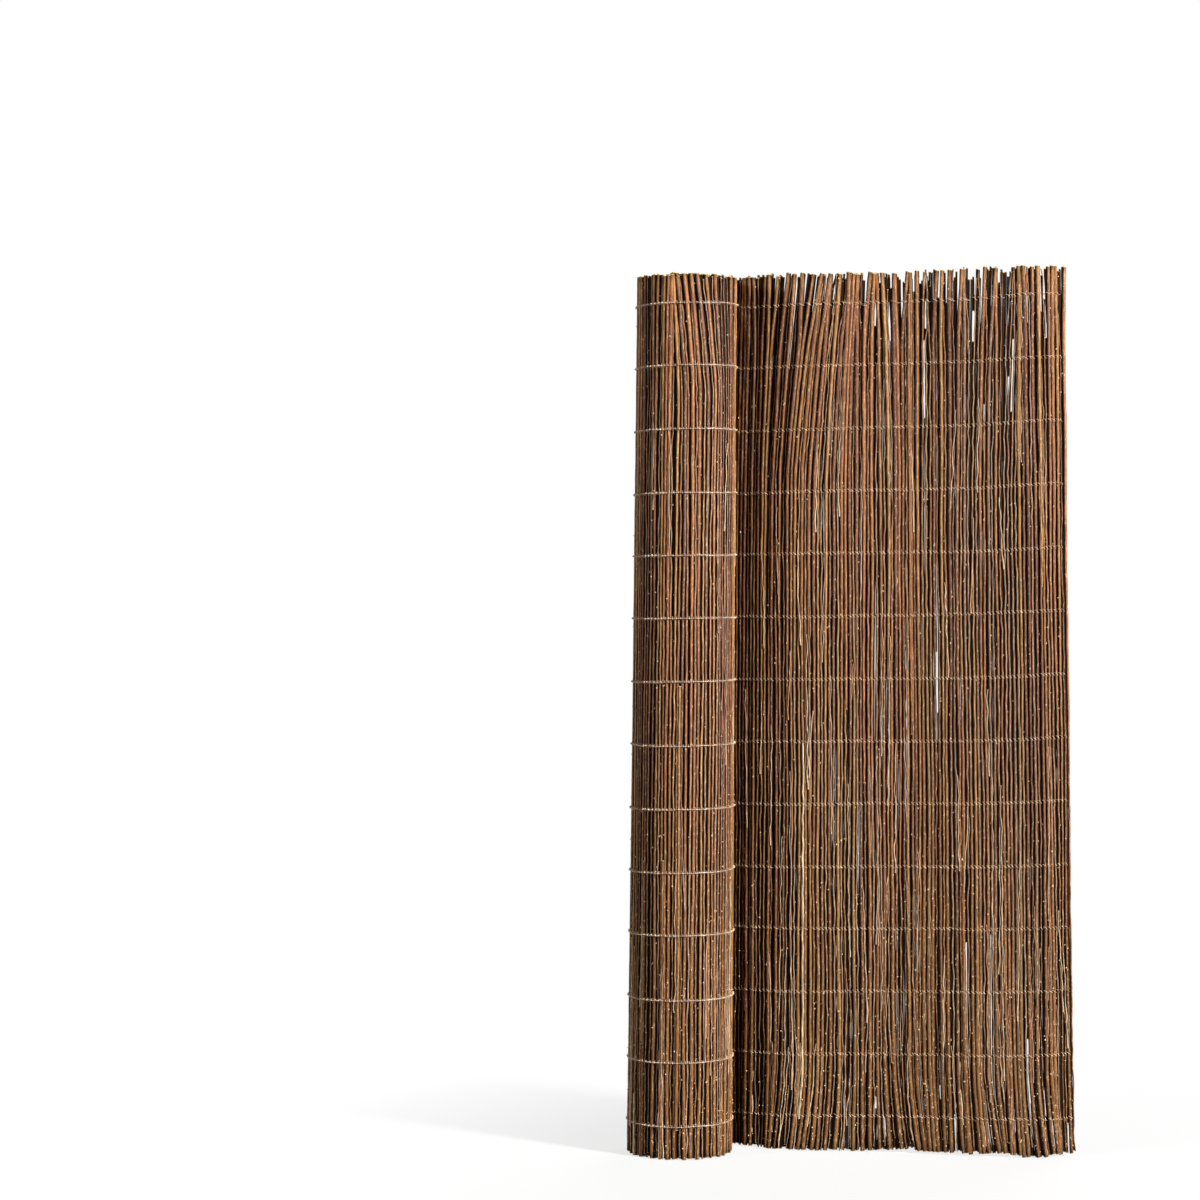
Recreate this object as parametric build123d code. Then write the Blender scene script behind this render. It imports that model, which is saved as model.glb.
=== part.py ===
from build123d import *
from dataclasses import dataclass
import math
import os
import random

# A willow rod screen, 1.8 m high, standing partly unrolled: a loose roll at the left and
# its free length drawn out to the right. Rods stand side by side and 14 rows of wire bind
# them. Seen from above, the mat's centre line is a spiral that runs out into a gentle wave.
# +Z is up, +X follows the free length and -Y faces the viewer. Plan sizes are those at the
# foot: butts are thickest there, so the whole mat is a little narrower at the top.

# Mat
MAT_HEIGHT = 1800.0  # longest rod
BUTT_DIAMETER = 10.0  # thick rods
TIP_DIAMETER = 6.2  # thin rods
BUTT_SPACING = 9.8  # width that a thick rod takes in the row
TIP_SPACING = 7.2  # width that a thin rod takes in the row
BUTT_FLAT = 3.4  # crest facet of a thick rod
WEB_THICKNESS = 3.0  # where two rods meet
TOP_RAGGED = 9.0  # how far the rods' upper ends differ
TOP_DROP = 18.0  # how much lower the rods end in the roll than at the free end
FOOT_RAGGED = 8.0  # how far the free length's lower ends differ
FOOT_CLIMB = 10.0  # how much higher they are at the free end
STANDING_EVERY = 6  # every sixth rod of the free length reaches the ground
TOP_NARROWING = 0.052  # share of the width lost at the top
NARROWING_CENTRE = 300.0  # from the roll's axis, along X

# Roll
CORE_RADIUS = 52.0  # innermost turn, at the rods' centres
ROLL_TURNS = 4.25
ROLL_SLACK = 4.0  # between the thick rods of one turn and the next
LEAVE_ANGLE = 56.0  # where the free length leaves the roll, from +X towards +Y

# Free length: length and turn of each bend, left turns positive
LEAD_LENGTH, LEAD_TURN = 91.0, 2.0
DRAW_LENGTH, DRAW_TURN = 178.0, 30.0
BACK_LENGTH, BACK_TURN = 215.0, -15.0
SAG_LENGTH, SAG_TURN = 185.5, 12.0
END_LENGTH, END_TURN = 105.0, 37.0

# Wires
WIRE_ROWS = 14
FIRST_ROW = 66.0  # height of the lowest row at the roll
TOP_MARGIN = 80.0  # from the highest row at the roll up to the longest rod's end
ROW_CLIMB = 0.016  # how much the rows rise towards the free end, for each length along X
RUNNER_SIZE = 1.3  # straight wire on the outer face
STITCH_SIZE = 1.0  # lashing wire on the face that is rolled inwards
WIRE_SEAT = 0.12  # between a wire and the crests that it is drawn over
ROLL_CHORD_TURN = 18.0  # most that a wire turns from one straight stretch to the next
FREE_CHORD_TURN = 10.0
RUNNER_START_TURN = 320.0  # how far round the roll a runner shows
STITCH_START = 12.0  # past the point where the free length leaves the roll

# Light gaps between rods of the free length
GAP_WIDTH = 2.2
GAP_EDGE = 9.0  # kept between a gap and a wire row
SHORTEST_GAP = 0.45  # share of the space between two rows

SEED = 41

free_bends = (
    (LEAD_LENGTH, LEAD_TURN),
    (DRAW_LENGTH, DRAW_TURN),
    (BACK_LENGTH, BACK_TURN),
    (SAG_LENGTH, SAG_TURN),
    (END_LENGTH, END_TURN),
)
free_length = sum(length for length, _ in free_bends)
turn_pitch = BUTT_DIAMETER + ROLL_SLACK
roll_radius = CORE_RADIUS + ROLL_TURNS * turn_pitch
roll_length = math.pi * (roll_radius**2 - CORE_RADIUS**2) / turn_pitch
mat_length = roll_length + free_length
row_spacing = (MAT_HEIGHT - FIRST_ROW - TOP_MARGIN) / (WIRE_ROWS - 1)


@dataclass
class Rod:
    """One upright rod of the mat: its stretch of the centre line, its size and its ends."""

    start: float
    end: float
    diameter: float
    flat: float
    foot: float
    top: float


@dataclass
class GapZone:
    """Where light shows between rods: wire-row spaces, a stretch of the free length, how often."""

    first_space: int
    last_space: int
    start: float
    end: float
    every: int


gap_zones = (
    GapZone(first_space=-1, last_space=-1, start=0.48, end=0.97, every=6),
    GapZone(first_space=0, last_space=1, start=0.62, end=0.97, every=11),
    GapZone(first_space=5, last_space=8, start=0.66, end=0.97, every=13),
    GapZone(first_space=11, last_space=12, start=0.30, end=0.97, every=13),
    GapZone(first_space=13, last_space=13, start=0.18, end=0.97, every=5),
)


def narrowing(height):
    """Scale of the plan at a height."""
    return 1 - TOP_NARROWING * height / MAT_HEIGHT


def centre_line(along):
    """Point and heading of the mat's centre line, from the innermost rod outwards."""
    if along <= roll_length:
        radius = math.sqrt(CORE_RADIUS**2 + turn_pitch * along / math.pi)
        angle = math.radians(LEAVE_ANGLE) + 2 * math.pi * (roll_radius - radius) / turn_pitch
        return radius * math.cos(angle), radius * math.sin(angle), angle - math.pi / 2
    heading = math.radians(LEAVE_ANGLE) - math.pi / 2
    x = roll_radius * math.cos(math.radians(LEAVE_ANGLE))
    y = roll_radius * math.sin(math.radians(LEAVE_ANGLE))
    left = along - roll_length
    for length, turn in free_bends:
        run = min(left, length)
        swing = math.radians(turn) * run / length
        chord = run if swing == 0 else 2 * run / swing * math.sin(swing / 2)
        x += chord * math.cos(heading + swing / 2)
        y += chord * math.sin(heading + swing / 2)
        heading += swing
        left -= run
        if left <= 0:
            break
    return x, y, heading


def plan_point(along, offset, height):
    """Point of the mat at a height, offset from the centre line towards its outer face."""
    x, y, heading = centre_line(along)
    scale = narrowing(height)
    x = NARROWING_CENTRE + (x - NARROWING_CENTRE) * scale - offset * math.sin(heading)
    y = y * scale + offset * math.cos(heading)
    return Vector(x, y, height)


def upright(outline, low, high):
    """Solid between two heights of a plan outline that narrows upwards with the mat."""
    rings = []
    for height in (low, high):
        scale = narrowing(height)
        rings.append([plan_point(along, offset * scale, height) for along, offset in outline])
    lower, upper = rings
    corners = range(len(outline))
    sides = [
        Face(Wire.make_polygon([lower[i - 1], lower[i], upper[i], upper[i - 1]])) for i in corners
    ]
    ends = [Face(Wire.make_polygon(ring)) for ring in rings]
    return Solid(Shell(sides + ends))


def lay_rods():
    """Thick and thin rods in turn, from the innermost to the free end."""
    chance = random.Random(SEED)
    rods = []
    along = 0.0
    while along + BUTT_SPACING <= mat_length:
        thick = len(rods) % 2 == 0
        width = BUTT_SPACING if thick else TIP_SPACING
        free = along > roll_length
        standing = not free or len(rods) % STANDING_EVERY == 0
        inward = min(1.0, (mat_length - along) / free_length)
        foot = 0.0 if standing else FOOT_CLIMB * (1 - inward) + FOOT_RAGGED * chance.random()
        rods.append(
            Rod(
                start=along,
                end=along + width,
                diameter=BUTT_DIAMETER if thick else TIP_DIAMETER,
                flat=BUTT_FLAT if thick else 0.0,
                foot=foot,
                top=MAT_HEIGHT - TOP_DROP * inward - TOP_RAGGED * chance.random(),
            )
        )
        along += width
    rods[-1].top = MAT_HEIGHT
    return rods


def rod_solid(rod):
    """A rod as a ridge on both faces, joined to its neighbours by half a web each side."""
    middle = (rod.start + rod.end) / 2
    crests = sorted({middle - rod.flat / 2, middle + rod.flat / 2})
    outer = [(rod.start, WEB_THICKNESS / 2)]
    outer += [(along, rod.diameter / 2) for along in crests]
    outer += [(rod.end, WEB_THICKNESS / 2)]
    inner = [(along, -offset) for along, offset in reversed(outer)]
    return upright(outer + inner, rod.foot, rod.top)


def row_height(row):
    """Height of a wire row's underside at the roll, counted from 0 at the foot."""
    return FIRST_ROW + row * row_spacing


def climb(x):
    """How much higher a wire row is at a distance from the roll's axis."""
    return ROW_CLIMB * x


def light_gaps(rods):
    """Narrow slots through the webs of the free length, between the wire rows."""
    chance = random.Random(SEED)
    depth = BUTT_DIAMETER
    slots = []
    for zone in gap_zones:
        for space in range(zone.first_space, zone.last_space + 1):
            low = row_height(space) + GAP_EDGE
            high = row_height(space + 1) - GAP_EDGE
            for index, rod in enumerate(rods):
                share = (rod.end - roll_length) / free_length
                if not zone.start < share < zone.end or (index + 4 * space) % zone.every:
                    continue
                length = (high - low) * (SHORTEST_GAP + (1 - SHORTEST_GAP) * chance.random())
                start = low + (high - low - length) * chance.random()
                end = start + length
                if space < 0:
                    start, end = -GAP_EDGE, high
                elif space == WIRE_ROWS - 1:
                    start, end = low, high
                lift = climb(centre_line(rod.end)[0])
                start, end = start + min(space + 1, 1) * lift, end + lift
                edges = (rod.end - GAP_WIDTH / 2, rod.end + GAP_WIDTH / 2)
                outline = [(edges[0], depth), (edges[1], depth), (edges[1], -depth), (edges[0], -depth)]
                slots.append(upright(outline, start, end))
    return slots


def make_mat(rods):
    """All rods as one wall, with its light gaps."""
    solids = [rod_solid(rod) for rod in rods]
    wall = solids[0].fuse(*solids[1:], glue=True)
    return wall.cut(*light_gaps(rods))


def wire_stops(start, end, side):
    """Points along the mat where a wire bends, each with its lift clear of the crests.

    A straight stretch over a bulge of the mat touches it halfway, so its ends stand off by
    the sagitta. Over a hollow the ends touch.
    """
    marks = [start, roll_length]
    for length, _ in free_bends:
        marks.append(marks[-1] + length)
    marks[-1] = end
    marks = [mark for mark in marks if mark >= start]
    stops = []
    for low, high in zip(marks, marks[1:]):
        turn = abs(math.degrees(centre_line(high)[2] - centre_line(low)[2]))
        most = ROLL_CHORD_TURN if high <= roll_length else FREE_CHORD_TURN
        count = max(1, math.ceil(turn / most))
        stops += [low + (high - low) * step / count for step in range(count)]
    stops.append(end)
    sagittas = [0.0]
    for low, high in zip(stops, stops[1:]):
        swing = max(0.0, -side * (centre_line(high)[2] - centre_line(low)[2]))
        sagittas.append((high - low + BUTT_DIAMETER / 2 * swing) * swing / 8)
    sagittas.append(0.0)
    lifts = [max(pair) for pair in zip(sagittas, sagittas[1:])]
    return zip(stops, lifts)


def make_wire(row, size, side, start, end):
    """A wire drawn taut over the crests of one face: side is 1 for the outer, -1 for the inner."""
    height = row_height(row)
    seat = BUTT_DIAMETER / 2 * narrowing(height) + WIRE_SEAT
    near, far = [], []
    for along, lift in wire_stops(start, end, side):
        for edge, reach in ((near, seat + lift), (far, seat + lift + size)):
            point = plan_point(along, side * reach, height)
            edge.append(Vector(point.X, point.Y, point.Z + climb(point.X)))
    strip = make_face(Polyline(*near, *reversed(far), close=True))
    return extrude(strip, size, dir=(0, 0, 1))


rods = lay_rods()
mat_end = rods[-1].end
runner_start = roll_length - math.radians(RUNNER_START_TURN) * roll_radius
stitch_start = roll_length + STITCH_START

parts = {"willow_mat": make_mat(rods)}
for row in range(WIRE_ROWS):
    number = f"{row + 1:02d}"
    parts["runner_wire_" + number] = make_wire(row, RUNNER_SIZE, 1, runner_start, mat_end)
    parts["stitch_wire_" + number] = make_wire(row, STITCH_SIZE, -1, stitch_start, mat_end)

# The origin is the middle of the ground under the screen.
box = Compound(list(parts.values())).bounding_box()
to_origin = Location((-(box.min.X + box.max.X) / 2, -(box.min.Y + box.max.Y) / 2, 0))

os.makedirs("parts", exist_ok=True)
for name, solid in parts.items():
    export_step(to_origin * solid, f"parts/{name}.step")
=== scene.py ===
"""Willow screen, dressed: tapered rods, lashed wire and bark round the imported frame.

The rods, twigs, buds and wires follow the mat's centre line, which repeats the plan of the
solids in metres: a spiral that runs out into a gentle wave.
"""

import logging
import math
from dataclasses import Field, dataclass, field, fields
from enum import Enum

import bpy
import numpy as np
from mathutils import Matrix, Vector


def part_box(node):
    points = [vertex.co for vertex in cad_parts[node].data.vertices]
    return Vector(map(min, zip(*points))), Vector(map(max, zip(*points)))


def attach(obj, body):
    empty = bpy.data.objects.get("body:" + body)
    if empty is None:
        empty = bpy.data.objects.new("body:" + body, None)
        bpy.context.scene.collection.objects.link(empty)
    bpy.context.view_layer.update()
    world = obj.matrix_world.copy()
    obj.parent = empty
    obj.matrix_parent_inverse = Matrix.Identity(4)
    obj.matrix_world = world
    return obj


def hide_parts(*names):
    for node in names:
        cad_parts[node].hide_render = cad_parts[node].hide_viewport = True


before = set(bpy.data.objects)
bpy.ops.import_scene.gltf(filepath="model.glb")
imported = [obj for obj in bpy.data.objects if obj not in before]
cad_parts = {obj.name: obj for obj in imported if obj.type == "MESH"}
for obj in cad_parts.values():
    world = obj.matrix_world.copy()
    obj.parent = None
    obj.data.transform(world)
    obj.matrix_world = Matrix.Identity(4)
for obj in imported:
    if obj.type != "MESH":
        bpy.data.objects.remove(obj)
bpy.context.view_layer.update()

MM = 0.001
# What an input of a node takes.
Operand = bpy.types.NodeSocket | float
# How far apart in the noise two rods and two trees read, and what brings it to -1 to 1.
LANE_STEP, SEED_STEP, NOISE_GAIN = 7.31, 3.7, 3.2
# Share of the free length, at its free end, over which the rods hold to the edge.
EDGE_SHARE = 0.05

log = logging.getLogger("willow_screen")


class Lane(Enum):
    """Which part of the noise a use reads, so that no two uses on a rod are alike."""

    BOW = 11.0
    KINK = 23.0
    DEPTH = 37.0
    SWELL = 51.0
    SWAY = 71.0


class Face(Enum):
    """Which face of the mat a piece lies on: OUTER is outermost in the roll."""

    OUTER = 1
    INNER = -1


def linear(code: str) -> tuple[float, float, float, float]:
    """Turn an sRGB hex colour into linear RGBA.

    Args:
        code: Six hex digits with or without a leading hash.

    Returns:
        Linear red, green, blue and an alpha of 1.
    """
    text = code.lstrip("#")
    values = [int(text[i:i + 2], 16) / 255 for i in (0, 2, 4)]
    curve = [v / 12.92 if v <= 0.04045 else ((v + 0.055) / 1.055) ** 2.4 for v in values]
    return (*curve, 1.0)


def add(tree: bpy.types.NodeTree, kind: str, links: dict | None = None, **settings) -> bpy.types.Node:
    """Add a node with its settings and its inputs.

    Args:
        tree: The shader or geometry tree.
        kind: The node's type name.
        links: Input name or index to a socket, which is linked, or a value, which is set.
        **settings: Attributes of the node itself.

    Returns:
        The new node.
    """
    node = tree.nodes.new(kind)
    for name, value in settings.items():
        setattr(node, name, value)
    for key, value in (links or {}).items():
        if isinstance(key, int):
            socket = node.inputs[key]
        else:
            socket = next(s for s in node.inputs if s.name == key and s.enabled)
        if isinstance(value, bpy.types.NodeSocket):
            tree.links.new(value, socket)
        elif value is not None:
            socket.default_value = value
    return node


def out(node: bpy.types.Node, name: str = "") -> bpy.types.NodeSocket:
    """Return a node's named output, or its first one that is on.

    Args:
        node: The node.
        name: The output's name, or nothing for the first.

    Returns:
        The output socket.
    """
    return next(s for s in node.outputs if s.enabled and (not name or s.name == name))


def link(name: str, data: bpy.types.ID) -> bpy.types.Object:
    """Make an object of a mesh, lamp or camera at the origin, and link it to the scene."""
    piece = bpy.data.objects.new(name, data)
    bpy.context.scene.collection.objects.link(piece)
    return piece


def maths(tree: bpy.types.NodeTree, operation: str, *values) -> bpy.types.NodeSocket:
    """Add a Math node over sockets or numbers.

    Args:
        tree: The tree.
        operation: Blender's name of the operation.
        *values: Its operands.

    Returns:
        The result's socket.
    """
    return out(add(tree, "ShaderNodeMath", dict(enumerate(values)), operation=operation))


def start_finish(name: str) -> tuple[bpy.types.Material, bpy.types.Node, bpy.types.NodeSocket]:
    """Start a material.

    Args:
        name: Its name.

    Returns:
        The material, its shader and the place on the object, in metres.
    """
    material = bpy.data.materials.new(name)
    material.use_nodes = True
    tree = material.node_tree
    return material, tree.nodes["Principled BSDF"], out(add(tree, "ShaderNodeTexCoord"), "Object")


def colour_ramp(tree: bpy.types.NodeTree, value: bpy.types.NodeSocket,
                stops: tuple[tuple[float, str], ...]) -> bpy.types.NodeSocket:
    """Turn a value into a colour.

    Args:
        tree: The shader tree.
        value: The value.
        stops: Each colour's place from 0 to 1 and its sRGB hex code.

    Returns:
        The colour's socket.
    """
    ramp = add(tree, "ShaderNodeValToRGB", {"Fac": value})
    elements = ramp.color_ramp.elements
    while len(elements) < len(stops):
        elements.new(0.5)
    for element, (position, code) in zip(elements, stops):
        element.position = position
        element.color = linear(code)
    return out(ramp, "Color")


@dataclass
class MatPlan:
    """The mat's plan, in metres at the foot, as the solids have it."""

    height: float = 1800 * MM
    butt_diameter: float = 10 * MM
    core_radius: float = 52 * MM
    roll_turns: float = 4.25
    roll_slack: float = 4 * MM
    leave_angle: float = math.radians(56)
    top_narrowing: float = 0.052
    narrowing_centre: float = 300 * MM
    row_climb: float = 0.016
    bends: tuple[tuple[float, float], ...] = ((91, 2), (178, 30), (215, -15), (185.5, 12), (105, 37))
    end_trim: float = 8 * MM
    origin: np.ndarray = field(default_factory=lambda: np.zeros(2))

    def __post_init__(self) -> None:
        """Work out the lengths and set the plan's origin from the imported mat."""
        self.turn_pitch = self.butt_diameter + self.roll_slack
        self.roll_radius = self.core_radius + self.roll_turns * self.turn_pitch
        area = self.roll_radius ** 2 - self.core_radius ** 2
        self.roll_length = math.pi * area / self.turn_pitch
        self.free_length = sum(length for length, _ in self.bends) * MM
        self.length = self.roll_length + self.free_length - self.end_trim
        low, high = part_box("willow_mat")
        reach = np.array([self.centre(s)[:2] for s in np.linspace(0, self.length, 4000)])
        half = self.butt_diameter / 2
        self.origin = np.array([low[0] - reach[:, 0].min() + half, low[1] - reach[:, 1].min() + half])

    def centre(self, along: float) -> tuple[float, float, float]:
        """Give a point of the centre line.

        Args:
            along: Metres from the innermost rod.

        Returns:
            Its x and y in the frame and the heading there.
        """
        x, y = self.origin
        if along <= self.roll_length:
            radius = math.sqrt(self.core_radius ** 2 + self.turn_pitch * along / math.pi)
            angle = self.leave_angle + 2 * math.pi * (self.roll_radius - radius) / self.turn_pitch
            return x + radius * math.cos(angle), y + radius * math.sin(angle), angle - math.pi / 2
        heading = self.leave_angle - math.pi / 2
        x += self.roll_radius * math.cos(self.leave_angle)
        y += self.roll_radius * math.sin(self.leave_angle)
        left = along - self.roll_length
        for length, turn in self.bends:
            run = min(left, length * MM)
            swing = math.radians(turn) * run / (length * MM)
            chord = run if swing == 0 else 2 * run / swing * math.sin(swing / 2)
            x += chord * math.cos(heading + swing / 2)
            y += chord * math.sin(heading + swing / 2)
            heading += swing
            left -= run
            if left <= 0:
                break
        return x, y, heading

    def narrow(self, points: np.ndarray) -> np.ndarray:
        """Narrow points towards the top as the mat does.

        Args:
            points: Rows of x, y and z.

        Returns:
            The moved rows.
        """
        scale = 1 - self.top_narrowing * points[:, 2] / self.height
        axis = self.origin + (self.narrowing_centre, 0)
        moved = points.copy()
        moved[:, :2] = axis + (points[:, :2] - axis) * scale[:, None]
        return moved

    def stand(self, name: str, rods: list) -> bpy.types.Object:
        """Mark on the ground where rods stand.

        Args:
            name: The object's name.
            rods: The rods.

        Returns:
            The object, a vertex for each rod that carries the rod's values.
        """
        places = np.array([self.centre(rod.along) for rod in rods])
        count = len(rods)
        outward = np.stack([-np.sin(places[:, 2]), np.cos(places[:, 2]), np.zeros(count)], axis=1)
        mesh = bpy.data.meshes.new(name)
        mesh.from_pydata(np.column_stack([places[:, :2], np.zeros(count)]).tolist(), [], [])
        mark = mesh.attributes.new("outward", "FLOAT_VECTOR", "POINT")
        mark.data.foreach_set("vector", outward.ravel())
        values = {item.name: [getattr(rod, item.name) for rod in rods] for item in fields(rods[0])}
        for label, row in {"rod": range(count), **values}.items():
            mark = mesh.attributes.new(label, "FLOAT", "POINT")
            mark.data.foreach_set("value", np.array(row, dtype=float))
        return link(name, mesh)


class GeometryTree:
    """A geometry node tree with named inputs, applied once to a base object."""

    def __init__(self, name: str, inputs: dict[str, object]) -> None:
        """Start the tree and its inputs.

        Args:
            name: The tree's name.
            inputs: Input name to its value; a float, an int or a material.
        """
        self.tree = bpy.data.node_groups.new(name, "GeometryNodeTree")
        self.values = inputs
        face = self.tree.interface
        face.new_socket("Geometry", in_out="INPUT", socket_type="NodeSocketGeometry")
        face.new_socket("Geometry", in_out="OUTPUT", socket_type="NodeSocketGeometry")
        kinds = {int: "NodeSocketInt", float: "NodeSocketFloat"}
        for label, value in inputs.items():
            kind = kinds.get(type(value), "NodeSocketMaterial")
            face.new_socket(label, in_out="INPUT", socket_type=kind)
        self.source = self.tree.nodes.new("NodeGroupInput")
        self.target = self.tree.nodes.new("NodeGroupOutput")

    def get(self, label: str) -> bpy.types.NodeSocket:
        """Return the socket of a named input."""
        return self.source.outputs[label]

    def add(self, kind: str, links: dict | None = None, **settings) -> bpy.types.NodeSocket:
        """Add a node and return its first output."""
        return out(add(self.tree, kind, links, **settings))

    def node(self, kind: str, links: dict | None = None, **settings) -> bpy.types.Node:
        """Add a node and return it."""
        return add(self.tree, kind, links, **settings)

    def maths(self, operation: str, *values) -> bpy.types.NodeSocket:
        """Add a Math node and return its result."""
        return maths(self.tree, operation, *values)

    def vector(self, operation: str, *values) -> bpy.types.NodeSocket:
        """Add a Vector Math node and return its result."""
        links = {}
        for index, value in enumerate(values):
            scales = operation == "SCALE" and index == 1
            links[3 if scales else index] = value
        return self.add("ShaderNodeVectorMath", links, operation=operation)

    def read(self, name: str, kind: str = "FLOAT") -> bpy.types.NodeSocket:
        """Read a named attribute."""
        return self.add("GeometryNodeInputNamedAttribute", {"Name": name}, data_type=kind)

    def store(self, geometry: bpy.types.NodeSocket, name: str, value: Operand) -> bpy.types.NodeSocket:
        """Store a named attribute on the points and return the geometry."""
        links = {"Geometry": geometry, "Name": name, "Value": value}
        return self.add("GeometryNodeStoreNamedAttribute", links, data_type="FLOAT", domain="POINT")

    def point(self, x: Operand = 0.0, y: Operand = 0.0, z: Operand = 0.0) -> bpy.types.NodeSocket:
        """Combine three numbers or sockets into a vector."""
        return self.add("ShaderNodeCombineXYZ", {"X": x, "Y": y, "Z": z})

    def height(self) -> bpy.types.NodeSocket:
        """Give the height of the place that the tree is at."""
        place = self.add("GeometryNodeInputPosition")
        return out(self.node("ShaderNodeSeparateXYZ", {0: place}), "Z")

    def blend(self, value: Operand, low: Operand, high: Operand, start: float, end: float
              ) -> bpy.types.NodeSocket:
        """Map a value from one range to another, held at both ends."""
        return self.add("ShaderNodeMapRange", {0: value, 1: low, 2: high, 3: start, 4: end})

    def chance(self, low: float, high: float, which: bpy.types.NodeSocket, salt: int
               ) -> bpy.types.NodeSocket:
        """Give a random number that is fixed for each value of an index.

        Args:
            low: Lower limit.
            high: Upper limit.
            which: The index.
            salt: Added to the tree's seed, so that each use differs.

        Returns:
            The number's socket.
        """
        seed = self.maths("ADD", self.get("Seed"), salt)
        return self.add("FunctionNodeRandomValue", {"Min": low, "Max": high, "ID": which, "Seed": seed},
                        data_type="FLOAT")

    def ripple(self, which: bpy.types.NodeSocket, along: bpy.types.NodeSocket,
               waves: bpy.types.NodeSocket, use: Lane, detail: float = 1.0, own_seed: bool = True
               ) -> bpy.types.NodeSocket:
        """Give smooth noise from -1 to 1 along a rod, different for each index.

        Args:
            which: The index.
            along: Metres along it.
            waves: Waves a metre.
            use: What the noise is for.
            detail: Noise detail.
            own_seed: Whether each tree has its own noise; without it all trees share one.

        Returns:
            The number's socket.
        """
        lane = self.maths("MULTIPLY_ADD", which, LANE_STEP, use.value)
        seed = self.maths("MULTIPLY", self.get("Seed"), SEED_STEP if own_seed else 0.0)
        place = self.point(lane, seed, self.maths("MULTIPLY", along, waves))
        links = {"Vector": place, "Scale": 1.0, "Detail": detail, "Roughness": 0.5}
        noise = self.add("ShaderNodeTexNoise", links, noise_dimensions="3D")
        return self.maths("MULTIPLY", self.maths("SUBTRACT", noise, 0.5), NOISE_GAIN)

    def skin(self, paths: bpy.types.NodeSocket, girth: bpy.types.NodeSocket,
             sides: bpy.types.NodeSocket) -> bpy.types.NodeSocket:
        """Make round tubes with closed ends along chains of edges.

        Args:
            paths: The mesh edges.
            girth: The tube's radius at each point.
            sides: Facets round the tube.

        Returns:
            The mesh of the tubes.
        """
        curves = self.add("GeometryNodeMeshToCurve", {"Mesh": self.store(paths, "girth", girth)})
        ring = self.add("GeometryNodeCurvePrimitiveCircle", {"Resolution": sides, "Radius": 1.0})
        links = {"Curve": curves, "Profile Curve": ring, "Scale": self.read("girth"), "Fill Caps": True}
        return self.add("GeometryNodeCurveToMesh", links)

    def finish(self, geometry: bpy.types.NodeSocket, side: bpy.types.NodeSocket,
               end: bpy.types.NodeSocket | None = None) -> None:
        """Realize, shade and give the materials, and end the tree.

        Args:
            geometry: The tubes.
            side: Material of the sides.
            end: Material of the cut ends, if they have one of their own.
        """
        # The walls of a tube have four corners and its caps have more.
        corners = out(self.node("GeometryNodeInputMeshFaceNeighbors"), "Vertex Count")
        cap = self.maths("GREATER_THAN", corners, 4.5)
        body = self.maths("LESS_THAN", corners, 4.5)
        whole = self.add("GeometryNodeRealizeInstances", {"Geometry": geometry})
        smooth = self.add("GeometryNodeSetShadeSmooth", {"Geometry": whole, "Shade Smooth": body})
        dressed = self.add("GeometryNodeSetMaterial", {"Geometry": smooth, "Material": side})
        if end is not None:
            links = {"Geometry": dressed, "Selection": cap, "Material": end}
            dressed = self.add("GeometryNodeSetMaterial", links)
        self.tree.links.new(dressed, self.target.inputs[0])

    def apply(self, base: bpy.types.Object, name: str) -> bpy.types.Object:
        """Run the tree on a base object and keep the result as a plain mesh.

        Args:
            base: The object that the tree starts from; it is removed.
            name: The piece's name.

        Returns:
            The finished piece, at the origin.
        """
        modifier = base.modifiers.new("tree", "NODES")
        modifier.node_group = self.tree
        for item in self.tree.interface.items_tree:
            if item.in_out == "INPUT" and item.name in self.values:
                modifier[item.identifier] = self.values[item.name]
        graph = bpy.context.evaluated_depsgraph_get()
        mesh = bpy.data.meshes.new_from_object(base.evaluated_get(graph), preserve_all_data_layers=True,
                                               depsgraph=graph)
        mesh.name = name
        piece = link(name, mesh)
        base.modifiers.remove(modifier)
        old = base.data
        bpy.data.objects.remove(base)
        bpy.data.meshes.remove(old)
        bpy.data.node_groups.remove(self.tree)
        return piece


@dataclass
class Rod:
    """One rod or twig: where it stands in the mat, its ends, its thickness and its bark.

    Depth is measured towards the outer face, and a pressed rod is pushed out to the runner
    wire whatever its thickness. Lean and the three splays are how far the rod stands along the
    mat from an upright one: lean from foot to top, the foot and top splay at its ends, and the
    tip splay above the last wire alone. Silver is how pale its thin end is, peel how much of
    its bark is off, and shade how dark it is painted: a little random darkness, and painted shade
    where it stands in shadow close behind the roll, in a gap or behind an odd rod. Face is the
    value of the face whose side carries the painted shade and the painted shade of the grooves,
    or 0 for a rod outside the ranks.
    """

    along: float
    low: float
    high: float
    foot_radius: float
    top_radius: float
    tone: float
    silver: float = 0.0
    peel: float = 0.0
    shade: float = 0.0
    face: float = 0.0
    press: float = 1.0
    depth: float = 0.0
    lean: float = 0.0
    foot_splay: float = 0.0
    top_splay: float = 0.0
    tip_splay: float = 0.0


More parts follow.
